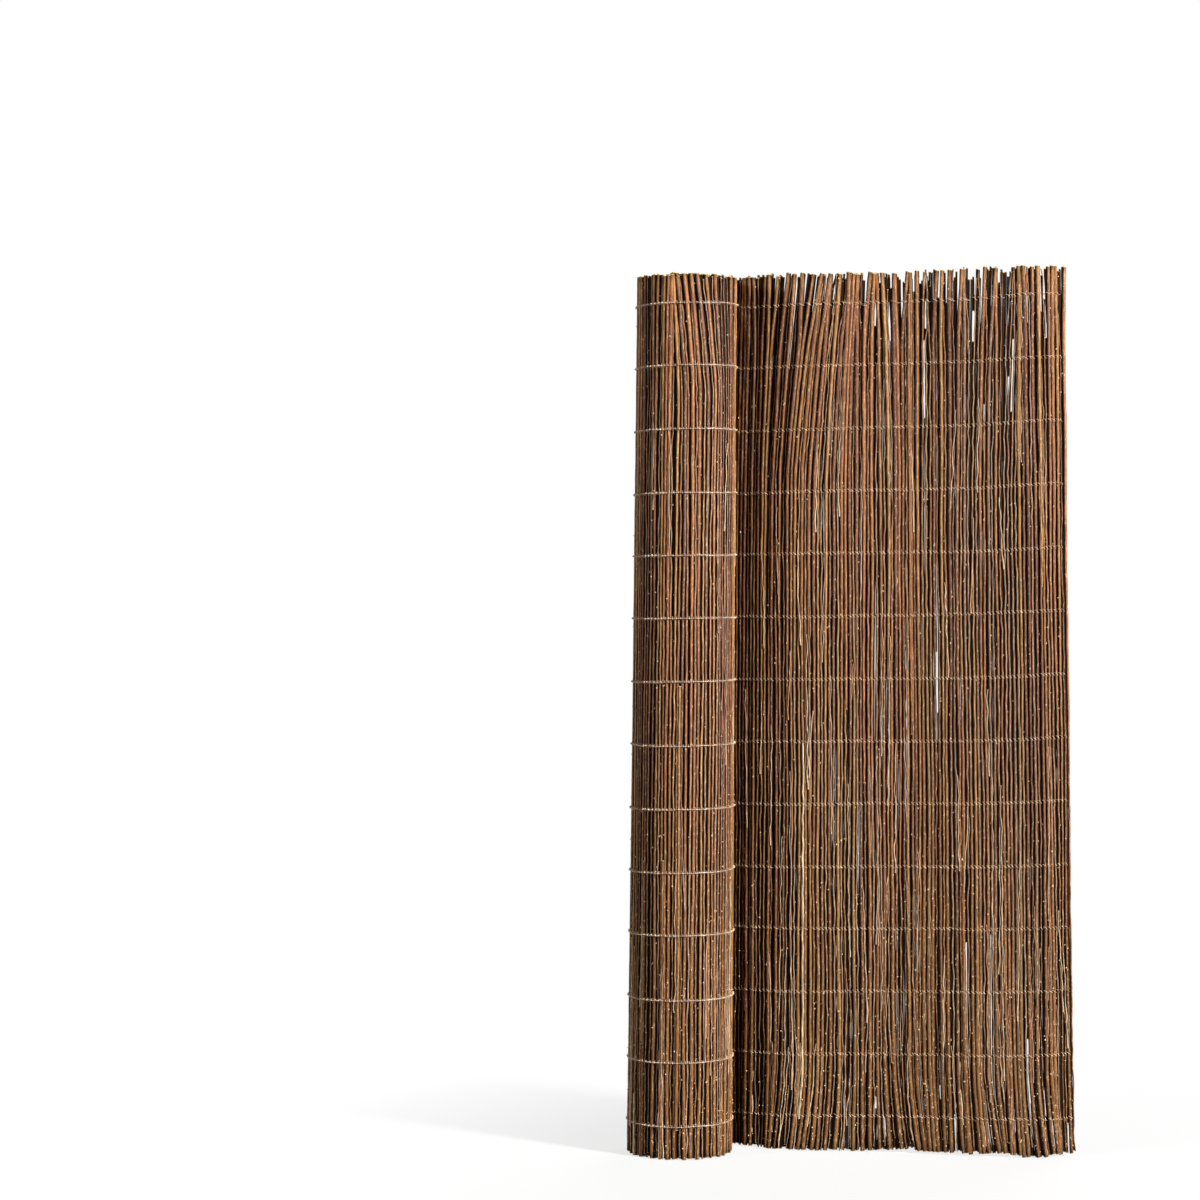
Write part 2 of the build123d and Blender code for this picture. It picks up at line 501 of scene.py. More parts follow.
@dataclass
class RodGroup:
    """Rods of one kind that are made together as one piece.

    Each field after the rods is an input of the geometry tree, under its name in title case.
    """

    name: str
    rods: list[Rod]
    sides: int = 8
    segments: int = 96
    # Where the crest of a pressed rod lies, so that the runner wire touches it.
    seat: float = 4.2 * MM
    taper: float = 1.4
    swell: float = 0.10
    swells: float = 34.0
    # A rod grows more crooked and paler from this radius down to that one.
    thin_from: float = 3.0 * MM
    thin_to: float = 1.8 * MM
    # How far rods wave along the mat and out of it, and how often a metre.
    bow: float = 0.9 * MM
    bows: float = 2.6
    sway: float = 3.0 * MM
    sways: float = 2.2
    sway_reach: float = 3.0
    kink: float = 0.55 * MM
    kinks: float = 34.0
    tip_kink: float = 1.5 * MM
    wave_depth: float = 0.35 * MM
    deep_waves: float = 3.1
    # The splays start this far from the ends and grow with these powers.
    foot_zone: float = 180 * MM
    foot_power: float = 1.5
    top_zone: float = 430 * MM
    top_power: float = 1.25
    tip_zone: float = 150 * MM
    tip_power: float = 1.0
    seed: int = 1

    def build(self, plan: MatPlan, bark: bpy.types.Material, wood: bpy.types.Material) -> bpy.types.Object:
        """Grow the rods on the mat's plan.

        Args:
            plan: The mat's plan.
            bark: Material of the sides.
            wood: Material of the cut ends.

        Returns:
            The piece.
        """
        sizes = {item.name.replace("_", " ").title(): getattr(self, item.name) for item in fields(self)[2:]}
        tree = GeometryTree(self.name, {
            **sizes, "Mat Height": plan.height, "Narrowing": plan.top_narrowing,
            "Axis X": float(plan.origin[0] + plan.narrowing_centre), "Axis Y": float(plan.origin[1]),
            "Bark": bark, "Cut Wood": wood,
        })
        get, m, read = tree.get, tree.maths, tree.read
        links = {"Count": m("ADD", get("Segments"), 1),
                 "Offset": tree.point(z=m("DIVIDE", 1.0, get("Segments")))}
        stick = tree.store(tree.add("GeometryNodeMeshLine", links, mode="OFFSET"), "rise", tree.height())
        rods = tree.add("GeometryNodeInstanceOnPoints", {"Points": get("Geometry"), "Instance": stick})
        rods = tree.add("GeometryNodeRealizeInstances", {"Geometry": rods})

        low, high = read("low"), read("high")
        height = m("MULTIPLY_ADD", read("rise"), m("SUBTRACT", high, low), low)
        girth = self.girth(tree)
        thin = tree.blend(girth, get("Thin From"), get("Thin To"), 0.0, 1.0)
        swell = m("MULTIPLY", get("Swell"), tree.ripple(read("rod"), height, get("Swells"), Lane.SWELL, 0.0))
        spot = self.spot(tree, height, self.aside(tree, height, thin), self.depth(tree, height, girth))
        ends = m("MINIMUM", m("SUBTRACT", height, low), m("SUBTRACT", high, height))
        rods = tree.store(rods, "ends", ends)
        rods = tree.store(rods, "pale_tip", m("MULTIPLY", thin, read("silver")))
        rods = tree.store(rods, "girth", m("MULTIPLY", girth, m("ADD", swell, 1.0)))
        rods = tree.add("GeometryNodeSetPosition", {"Geometry": rods, "Position": spot})
        tubes = tree.skin(rods, read("girth"), get("Sides"))
        tree.finish(self.darken(tree, tubes), get("Bark"), get("Cut Wood"))
        return tree.apply(plan.stand(self.name + "_spots", self.rods), self.name)

    def girth(self, tree: GeometryTree) -> bpy.types.NodeSocket:
        """Give each point's radius: a rod tapers from its butt, which is its thicker end."""
        m, rise = tree.maths, tree.read("rise")
        foot, top = tree.read("foot_radius"), tree.read("top_radius")
        butt_up = m("GREATER_THAN", top, foot)
        towards = m("ABSOLUTE", m("SUBTRACT", m("ADD", rise, butt_up), 1.0))
        stoutness = m("POWER", m("MAXIMUM", towards, 0.0), tree.get("Taper"))
        return m("MULTIPLY_ADD", m("ABSOLUTE", m("SUBTRACT", top, foot)), stoutness,
                 m("MINIMUM", top, foot))

    def aside(self, tree: GeometryTree, height: bpy.types.NodeSocket, thin: bpy.types.NodeSocket
              ) -> bpy.types.NodeSocket:
        """Give how far each point stands along the mat from an upright rod.

        Args:
            tree: The group's tree.
            height: The point's height.
            thin: How thin the rod is there, from 0 to 1.

        Returns:
            The distance's socket.
        """
        get, m, read = tree.get, tree.maths, tree.read
        from_top = m("SUBTRACT", get("Mat Height"), height)
        side = m("MULTIPLY", read("lean"), m("SUBTRACT", read("rise"), 0.5))
        for end, reach in (("Top", from_top), ("Tip", from_top), ("Foot", height)):
            zone = get(end + " Zone")
            into = m("MAXIMUM", m("DIVIDE", m("SUBTRACT", zone, reach), zone), 0.0)
            splay = read(end.lower() + "_splay")
            side = m("MULTIPLY_ADD", splay, m("POWER", into, get(end + " Power")), side)
        # Neighbours sway alike, in all groups; bows and kinks are each rod's own.
        common = m("MULTIPLY", read("along"), get("Sway Reach"))
        kink = m("MULTIPLY_ADD", get("Tip Kink"), thin, get("Kink"))
        for size, ripple in (
                (get("Sway"), tree.ripple(common, height, get("Sways"), Lane.SWAY, own_seed=False)),
                (get("Bow"), tree.ripple(read("rod"), height, get("Bows"), Lane.BOW)),
                (kink, tree.ripple(read("rod"), height, get("Kinks"), Lane.KINK, 0.0))):
            side = m("MULTIPLY_ADD", size, ripple, side)
        return side

    def depth(self, tree: GeometryTree, height: bpy.types.NodeSocket, girth: bpy.types.NodeSocket
              ) -> bpy.types.NodeSocket:
        """Give how far each point stands towards the outer face.

        Args:
            tree: The group's tree.
            height: The point's height.
            girth: The rod's radius there.

        Returns:
            The distance's socket.
        """
        get, m, read = tree.get, tree.maths, tree.read
        wave = tree.ripple(read("rod"), height, get("Deep Waves"), Lane.DEPTH)
        deep = m("MULTIPLY_ADD", get("Wave Depth"), wave, read("depth"))
        return m("MULTIPLY_ADD", read("press"), m("SUBTRACT", get("Seat"), girth), deep)

    def spot(self, tree: GeometryTree, height: bpy.types.NodeSocket, side: bpy.types.NodeSocket,
             deep: bpy.types.NodeSocket) -> bpy.types.NodeSocket:
        """Give each point's place on the mat, which narrows towards its top.

        Args:
            tree: The group's tree.
            height: The point's height.
            side: How far it stands along the mat from an upright rod.
            deep: How far it stands towards the outer face.

        Returns:
            The place's socket.
        """
        get, m, v = tree.get, tree.maths, tree.vector
        outward = tree.read("outward", "FLOAT_VECTOR")
        across = v("CROSS_PRODUCT", outward, (0.0, 0.0, 1.0))
        share = m("DIVIDE", height, get("Mat Height"))
        narrow = m("SUBTRACT", 1.0, m("MULTIPLY", share, get("Narrowing")))
        axis = tree.point(get("Axis X"), get("Axis Y"))
        flat = v("MULTIPLY", tree.add("GeometryNodeInputPosition"), (1.0, 1.0, 0.0))
        spot = v("ADD", axis, v("SCALE", v("SUBTRACT", flat, axis), narrow))
        for shift in (tree.point(z=height), v("SCALE", across, side), v("SCALE", outward, deep)):
            spot = v("ADD", spot, shift)
        return spot

    def darken(self, tree: GeometryTree, tubes: bpy.types.NodeSocket) -> bpy.types.NodeSocket:
        """Mark where shade is painted on the bark: in the grooves between rods and on rods that stand behind.

        Args:
            tree: The group's tree.
            tubes: The rods' skin.

        Returns:
            The skin with its marks.
        """
        m, read = tree.maths, tree.read
        links = {0: tree.add("GeometryNodeInputNormal"), 1: read("outward", "FLOAT_VECTOR")}
        facing = out(tree.node("ShaderNodeVectorMath", links, operation="DOT_PRODUCT"), "Value")
        # Rods outside the ranks, such as twigs, get no painted shade in grooves beside them.
        alone = m("SUBTRACT", 1.0, m("ABSOLUTE", read("face")))
        tubes = tree.store(tubes, "groove", m("SUBTRACT", 1.0, m("MAXIMUM", m("ABSOLUTE", facing), alone)))
        tubes = tree.store(tubes, "facing", facing)
        # The side that is turned away from the face that shows keeps little of the painted shade.
        shown = tree.blend(m("MULTIPLY", read("facing"), read("face")), -0.4, 0.1, 0.15, 1.0)
        return tree.store(tubes, "shade", m("MULTIPLY", read("shade"), shown))

    def rings(self, piece: bpy.types.Object, height: float) -> tuple[np.ndarray, np.ndarray]:
        """Find each rod's centre and radius at a height.

        Args:
            piece: The group's piece.
            height: The height.

        Returns:
            Rows of x and y, and the radii.
        """
        mesh = piece.data
        points = np.empty(len(mesh.vertices) * 3)
        mesh.vertices.foreach_get("co", points)
        rings = points.reshape(len(self.rods), self.segments + 1, self.sides, 3)
        middles = rings.mean(axis=2)
        radii = np.linalg.norm(rings[:, :, 0] - middles, axis=2)
        centres = np.array([[np.interp(height, rod[:, 2], rod[:, axis]) for axis in (0, 1)]
                            for rod in middles])
        girths = np.array([np.interp(height, rod[:, 2], radius) for rod, radius in zip(middles, radii)])
        return centres, girths


@dataclass
class LightZone:
    """Where light shows: between which heights, from which share of the free length, how often."""

    low: float
    high: float
    nearest: float
    often: float


@dataclass
class OddRod:
    """A rod that stands out in the photo and lies in front of the ordinary ones."""

    place: float
    low: float
    high: float
    foot_radius: float
    top_radius: float
    tone: float
    peel: float = 0.0
    front: float = 1.5 * MM


@dataclass
class Bump:
    """Where ends of rods stand aside: middle and width in shares of the free length, and millimetres."""

    middle: float
    width: float
    aside: float

    def at(self, share: float) -> float:
        """Give how far ends stand aside at a share of the free length, in metres."""
        return self.aside * MM * math.exp(-((share - self.middle) / self.width) ** 2)


def by_face(outer: object, inner: object) -> Field:
    """Give a dataclass field that holds a value for each face."""
    return field(default_factory=lambda: {Face.OUTER: outer, Face.INNER: inner})


@dataclass
class Planting:
    """Lays out the rods: butts up and down in turn, fillers behind the gaps, twigs and odd ones."""

    plan: MatPlan
    spacing: float = 8.1 * MM
    butt: float = 4.7 * MM
    tip: float = 1.45 * MM
    # How far butts and tips vary about their radius, as shares of it.
    tip_range: tuple[float, float] = (0.75, 1.4)
    spread: float = 0.15
    jitter: float = 0.9 * MM
    # Chances that a rod stands the same way up as its neighbour, and that its tip is silvery.
    same_way_up: float = 0.12
    silver_share: float = 0.3
    tone_spread: float = 0.27
    tone_drift: float = 0.08
    # Rods close behind the roll carry painted shade, up to this share of the free length.
    pocket_share: float = 0.10
    pocket_dark: float = 0.85
    # Painted shade on the rod that lies behind an odd rod, in its shadow.
    behind_shade: float = 0.3
    # How far single rods stand back, lean and splay by chance.
    set_back: float = 1.1 * MM
    lean_play: float = 2.4 * MM
    foot_play: float = 2.6 * MM
    top_play: float = 2.8 * MM
    # How far the free edge stands out along the mat, leans out, and stands out at the foot.
    edge_out: float = 3 * MM
    edge_lean: float = 6 * MM
    edge_foot: float = 2.6 * MM
    # How far the rods stand towards the face that shows, and the fillers towards the other.
    forward: dict[Face, float] = by_face(0.3 * MM, 1.3 * MM)
    filler_back: dict[Face, float] = by_face(3.3 * MM, 2.2 * MM)
    press: dict[Face, float] = by_face(0.5, 0.0)
    filler: tuple[float, float] = (2.3 * MM, 2.6 * MM)
    filler_aside: float = 2.0 * MM
    filler_foot: float = 5 * MM
    # The fillers are painted near black on the side that shows: painted shade in the gaps between rods.
    filler_shade: float = 0.95
    # Up to this share of the free length the fillers are thicker and end less raggedly.
    dense_share: float = 0.30
    dense_gain: float = 1.15
    filler_top: dict[bool, float] = field(default_factory=lambda: {True: 6 * MM, False: 30 * MM})
    slit_shares: tuple[float, float] = (0.12, 0.45)
    shortest_stretch: float = 30 * MM
    twig_radius: tuple[float, float] = (1.1 * MM, 1.6 * MM)
    twig_length: tuple[float, float] = (0.12, 0.40)
    twig_depth: dict[Face, tuple[float, float]] = by_face((3.0 * MM, 4.7 * MM), (2.2 * MM, 4.0 * MM))
    twig_lean: float = 9 * MM
    twig_margins: tuple[float, float] = (8 * MM, 10 * MM)
    # Most twigs start within this reach of the ground, and a share of them in a higher range.
    twig_reach: float = 0.30
    twig_high_share: float = 0.45
    twig_high: tuple[float, float] = (0.3, 1.4)
    twig_top_margin: float = 22 * MM
    foot_bumps: tuple[Bump, ...] = (
        Bump(0.28, 0.10, -17), Bump(0.90, 0.14, 12), Bump(0.56, 0.08, 20), Bump(0.75, 0.05, 12))
    top_bumps: tuple[Bump, ...] = (Bump(0.26, 0.12, 44), Bump(0.78, 0.12, 9))
    tip_bump: Bump = field(default_factory=lambda: Bump(0.5, 0.12, 3))
    # On the roll the tops stand aside between these distances back from where it is left.
    roll_fan: tuple[float, ...] = (0.362, 0.388, 0.462, 0.505)
    roll_fan_aside: float = 25 * MM
    top_ragged: float = 7 * MM
    # How much lower than the longest rod the tops end, by share of the free length.
    top_line: tuple[tuple[float, float], ...] = ((0, 18), (0.1, 9), (0.5, 9), (0.8, 2), (1, 2))
    # How high above the ground the feet end.
    foot_line: tuple[tuple[float, float], ...] = (
        (0, 0), (0.4, 0), (0.52, 5), (0.7, 5), (0.8, 7), (0.84, 0), (0.88, 0), (0.92, 6), (1, 6))
    foot_ragged: float = 3 * MM
    tip_short: float = 60 * MM
    floor_play: float = 0.7 * MM
    seed: int = 11
    zones: tuple[LightZone, ...] = (
        LightZone(0.00, 0.15, 0.46, 0.20), LightZone(0.04, 0.45, 0.62, 0.05),
        LightZone(0.75, 1.15, 0.60, 0.02), LightZone(1.38, 1.74, 0.30, 0.08),
        LightZone(1.64, 1.80, 0.26, 0.20),
    )
    # Shares of the free length, from the roll to the free end.
    free_odd: tuple[OddRod, ...] = (
        OddRod(0.270, 0.065, 0.83, 2.6 * MM, 2.0 * MM, 0.02, peel=0.9),
        OddRod(0.291, 0.002, 0.85, 4.3 * MM, 2.4 * MM, 0.05),
        OddRod(0.384, 0.90, 1.786, 2.6 * MM, 4.0 * MM, 0.87),
        OddRod(0.436, 0.75, 1.722, 2.6 * MM, 4.7 * MM, 0.90),
        OddRod(0.562, 0.85, 1.742, 2.4 * MM, 4.2 * MM, 0.30),
        OddRod(0.700, 0.004, 0.95, 4.4 * MM, 2.6 * MM, 0.89),
        OddRod(0.848, 1.44, 1.785, 1.3 * MM, 1.6 * MM, 0.74, peel=0.30),
        OddRod(0.861, 1.40, 1.775, 1.5 * MM, 1.3 * MM, 0.74, peel=0.45),
        OddRod(0.874, 1.47, 1.789, 1.3 * MM, 1.4 * MM, 0.70, peel=0.30),
        OddRod(0.915, 1.15, 1.796, 2.4 * MM, 5.6 * MM, 0.05),
    )
    # Metres back from where the free length leaves the roll.
    roll_odd: tuple[OddRod, ...] = (
        OddRod(0.288, 0.001, 0.125, 3.0 * MM, 2.2 * MM, 0.0, peel=1.0, front=4.6 * MM),
        OddRod(0.356, 0.002, 0.60, 3.9 * MM, 2.8 * MM, 0.10),
        OddRod(0.389, 0.060, 0.95, 4.4 * MM, 3.0 * MM, 0.03),
        OddRod(0.352, 0.95, 1.775, 2.4 * MM, 3.9 * MM, 0.89),
    )

    def __post_init__(self) -> None:
        """Start the random numbers and the slow drift along the mat."""
        self.chance = np.random.default_rng(self.seed)
        self.phases = self.chance.uniform(0, 2 * math.pi, 24)

    def drift(self, along: float, salt: int) -> float:
        """Give a slow random value from about -1 to 1 that neighbours share.

        Args:
            along: Metres from the innermost rod.
            salt: 0 to 5, keeps one use apart from another.

        Returns:
            The value.
        """
        waves = (23.0, 41.0, 67.0, 109.0)
        parts = [math.sin(wave * along + self.phases[4 * salt + i]) for i, wave in enumerate(waves)]
        return sum(parts) / 2.2

    def splay(self, along: float) -> tuple[float, float]:
        """Give how far the rods' feet and tops stand aside at a place along the mat.

        Args:
            along: Metres from the innermost rod.

        Returns:
            Foot and top splay.
        """
        plan = self.plan
        share = (along - plan.roll_length) / plan.free_length
        foot, top = 3 * MM * self.drift(along, 0), 4 * MM * self.drift(along, 1)
        if share > 0:
            held = min(1.0, (1 - share) / EDGE_SHARE)
            foot = (foot + sum(bump.at(share) for bump in self.foot_bumps)) * held
            top = (top + sum(bump.at(share) for bump in self.top_bumps)) * held
            return foot + self.edge_foot * (1 - held), top
        fan = np.interp(plan.roll_length - along, self.roll_fan, (0, 1, 1, 0))
        return foot, top + self.roll_fan_aside * fan * (share < 0)

    def pocket_shade(self, along: float) -> float:
        """Give how much painted shade a rod carries for standing in the shaded pocket close behind the roll.
        """
        near = (along - self.plan.roll_length) / (self.pocket_share * self.plan.free_length)
        return self.pocket_dark * (1 - near) if 0 < near < 1 else 0.0

    def tip_fan(self, along: float) -> float:
        """Give how far the ends above the last wire stand aside, most in the middle of the free length."""
        share = self.share(along)
        return (2 + 4 * min(1.0, share / 0.1)) * MM + self.tip_bump.at(share)

    def tone(self, along: float) -> float:
        """Give a rod's bark tone, mostly brown with some golden, orange and grey ones."""
        value = 0.5 + self.tone_spread * self.chance.normal() + self.tone_drift * self.drift(along, 2)
        return float(np.clip(value, 0.0, 1.0))

    def share(self, along: float) -> float:
        """Give how far along the free length a place lies, 0 in the roll and 1 at the free end."""
        return min(max((along - self.plan.roll_length) / self.plan.free_length, 0.0), 1.0)

    def foot(self, along: float) -> float:
        """Give the height of a rod's foot, a little higher towards the free end."""
        chance = self.chance
        lift = MM * float(np.interp(self.share(along), *zip(*self.foot_line)))
        return self.floor_play + lift + self.foot_ragged * chance.random() * (chance.random() < 0.6)

    def top(self, along: float) -> float:
        """Give the height of a rod's upper end, a little lower in the roll."""
        drop = MM * float(np.interp(self.share(along), *zip(*self.top_line)))
        return self.plan.height - self.floor_play - drop - self.top_ragged * self.chance.random()

    def main(self, start: float, end: float, face: Face) -> list[Rod]:
        """Lay the rods of a stretch, butt down and butt up in turn.

        Args:
            start: Where it starts.
            end: Where it ends.
            face: The face that shows.

        Returns:
            The rods.
        """
        rods = []
        chance = self.chance
        count = int((end - start) / self.spacing)
        step = (end - start) / count
        for index in range(count):
            along = start + step * (index + 0.5)
            if 0 < index < count - 1:
                along += chance.uniform(-1, 1) * self.jitter
            # The free edge stands a little further out than the mat's end, but not at the foot.
            edge = max(0.0, 1 - (1 - self.share(along)) / EDGE_SHARE)
            along += self.edge_out * edge
            foot_splay, top_splay = self.splay(along)
            loose = 0.25 + 0.75 * min(1.0, (1 - self.share(along)) / EDGE_SHARE)
            butt = self.butt * (1 + self.spread * chance.uniform(-1, 1))
            tip = self.tip * chance.uniform(*self.tip_range)
            low, high = self.foot(along), self.top(along)
            butt_down = (index + (chance.random() < self.same_way_up)) % 2 == 0
            short = self.tip_short * chance.random() ** 2
            if butt_down:
                high -= short * (1.0 if 0.35 < self.share(along) < 0.8 else 0.2)
            else:
                low += short * (0.2 if self.share(along) < 0.45 else 0.6)
            # Each rod gets a little random darkness, and painted shade where it stands close behind the roll.
            rods.append(Rod(
                along, low, high, butt if butt_down else tip, tip if butt_down else butt, self.tone(along),
                silver=chance.uniform(0.3, 1.0) if chance.random() < self.silver_share else 0.1,
                shade=max(0.3 * chance.random() ** 2, self.pocket_shade(along)), face=face.value,
                press=self.press[face],
                depth=face.value * (self.forward[face] - self.set_back * chance.random()),
                lean=self.lean_play * chance.uniform(-1, 1) * loose + self.edge_lean * edge,
                foot_splay=foot_splay + self.foot_play * loose * chance.uniform(-1, 1),
                top_splay=top_splay + self.top_play * loose * chance.uniform(-1, 1),
                tip_splay=loose * self.tip_fan(along) * float(np.clip(chance.normal(), -1.6, 1.6))))
        return rods

    def place_odd(self, rods: list[Rod], alongs: list[float], odd: tuple[OddRod, ...], face: Face
                  ) -> list[Rod]:
        """Put the rods that stand out in front of the others.

        Args:
            rods: The ordinary rods; the one behind each odd rod gets painted shade, for lying in its shadow.
            alongs: Where each odd rod stands.
            odd: The odd rods.
            face: The face that they show on.

        Returns:
            The odd rods.
        """
        made = []
        for along, item in zip(alongs, odd):
            foot_splay, top_splay = self.splay(along)
            near = min(rods, key=lambda rod: abs(rod.along - along))
            made.append(Rod(
                along, item.low, item.high, item.foot_radius, item.top_radius, item.tone, peel=item.peel,
                face=0.0 if item.peel else face.value, press=0.0, depth=face.value * item.front,
                foot_splay=foot_splay, top_splay=top_splay))
            near.shade = self.behind_shade
        return made

    def fillers(self, rods: list[Rod], face: Face, zones: tuple[LightZone, ...] = ()) -> list[Rod]:
        """Lay thin rods behind the gaps of others, with openings where light shows.

        Args:
            rods: The rods in front, in order along the mat.
            face: The face that shows; the fillers lie towards the other one.
            zones: Where they are left out.

        Returns:
            The fillers.
        """
        made = []
        chance = self.chance
        for first, second in zip(rods, rods[1:]):
            foot = (first.along + first.foot_radius + second.along - second.foot_radius) / 2
            top = (first.along + first.top_radius + second.along - second.top_radius) / 2
            along = (foot + top) / 2
            dense = self.share(along) < self.dense_share
            for aside in (-self.filler_aside, self.filler_aside):
                low = self.foot(along) + self.filler_foot * chance.random()
                high = self.top(along) - self.filler_top[dense] * chance.random() ** 1.5
                stretches = [(low, high)]
                for zone in zones:
                    if self.share(along) < zone.nearest or chance.random() > zone.often:
                        continue
                    length = (zone.high - zone.low) * chance.uniform(*self.slit_shares)
                    start = zone.low + (zone.high - zone.low - length) * chance.random()
                    cut = [(a, min(b, start)) for a, b in stretches]
                    cut += [(max(a, start + length), b) for a, b in stretches]
                    stretches = [(a, b) for a, b in cut if b - a > self.shortest_stretch]
                for low, high in stretches:
                    radius = chance.uniform(*self.filler) * (self.dense_gain if dense else 1.0)
                    # Each filler carries painted shade on the side that shows.
                    made.append(Rod(
                        along + aside, low, high, radius, radius * 0.95, self.tone(along),
                        shade=self.filler_shade, face=face.value, press=0.0,
                        depth=face.value * -self.filler_back[face] * chance.uniform(0.9, 1.1),
                        lean=top - foot + (first.lean + second.lean) / 2,
                        foot_splay=(first.foot_splay + second.foot_splay) / 2,
                        top_splay=(first.top_splay + second.top_splay) / 2))
        return made

    def twigs(self, start: float, end: float, face: Face, count: int) -> list[Rod]:
        """Lay pale wandering twigs over the rods, most of them near the foot.

        Args:
            start: Where the stretch starts.
            end: Where it ends.
            face: The face that they show on.
            count: How many.

        Returns:
            The twigs.
        """
        rods = []
        chance = self.chance
        for _ in range(count):
            along = chance.uniform(start + self.twig_margins[0], end - self.twig_margins[1])
            length = chance.uniform(*self.twig_length)
            low = self.floor_play + 2 * MM + self.twig_reach * chance.random() ** 1.6
            if chance.random() < self.twig_high_share:
                low = chance.uniform(*self.twig_high)
            high = min(low + length, self.plan.height - self.twig_top_margin)
            foot_splay, top_splay = self.splay(along)
            radius = chance.uniform(*self.twig_radius)
            rods.append(Rod(
                along, low, high, radius, radius * 0.6, self.tone(along), silver=chance.uniform(0.4, 1.0),
                peel=chance.uniform(0.2, 0.8) if chance.random() < 0.6 else 0.0, press=0.0,
                depth=face.value * chance.uniform(*self.twig_depth[face]),
                lean=self.twig_lean * chance.uniform(-1, 1), foot_splay=foot_splay, top_splay=top_splay))
        return rods


